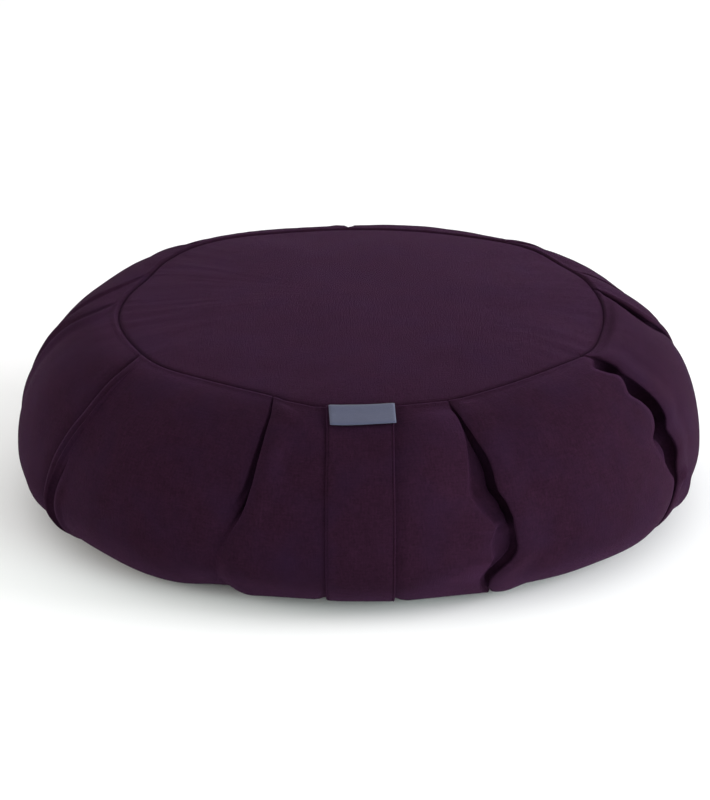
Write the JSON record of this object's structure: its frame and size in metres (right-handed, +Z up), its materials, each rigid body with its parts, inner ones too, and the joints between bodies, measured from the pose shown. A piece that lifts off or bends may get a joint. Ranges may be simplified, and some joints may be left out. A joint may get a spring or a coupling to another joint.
{
  "type": "zafu meditation cushion",
  "caption": "Low round meditation cushion with a slightly domed top, a knife-pleated side, a flat carrying strap sewn down the front and a small bare woven label.",
  "frame": {"origin": "bottom centre of the bounding box, on the surface the cushion rests on", "axes": "+Z up, -Y towards the front, where the strap and the label are, +X to the right of the front"},
  "size_m": [0.4094, 0.4094, 0.1235],
  "materials": {
    "cushion": "matt plum cotton twill",
    "strap": "matt plum cotton twill",
    "label": "slate woven label, bare"
  },
  "bodies": {
    "root": {"cushion": "cushion", "strap": "strap", "label": "label"}
  },
  "joints": []
}
